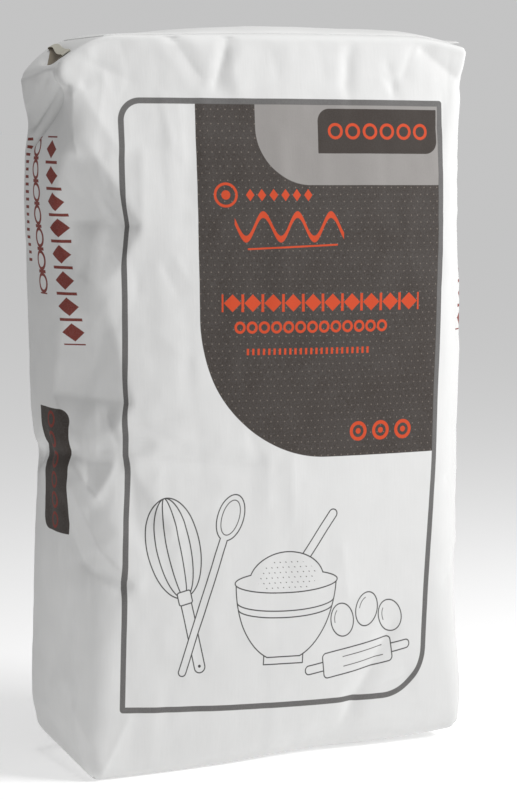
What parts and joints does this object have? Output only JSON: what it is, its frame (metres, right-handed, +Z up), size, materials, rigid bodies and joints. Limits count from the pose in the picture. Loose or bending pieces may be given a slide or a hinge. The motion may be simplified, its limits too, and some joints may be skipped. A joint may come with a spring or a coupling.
{
  "type": "filled flour sack",
  "caption": "Filled white paper flour sack with folded block ends, standing upright, with a filling valve in one top corner.",
  "frame": {"origin": "on the floor under the middle of the sack's box", "axes": "+Z up, -Y out of the printed front, -X to the side with the filling valve"},
  "size_m": [0.4056, 0.1603, 0.6578],
  "materials": {
    "white_paper": "matt bleached kraft paper with grey, dark brown and orange print",
    "cover_paper": "matt bleached kraft paper",
    "sleeve_paper": "matt brown kraft paper"
  },
  "bodies": {
    "root": {"sack": "white_paper", "top_cover": "cover_paper", "valve_sleeve": "sleeve_paper"}
  },
  "joints": []
}
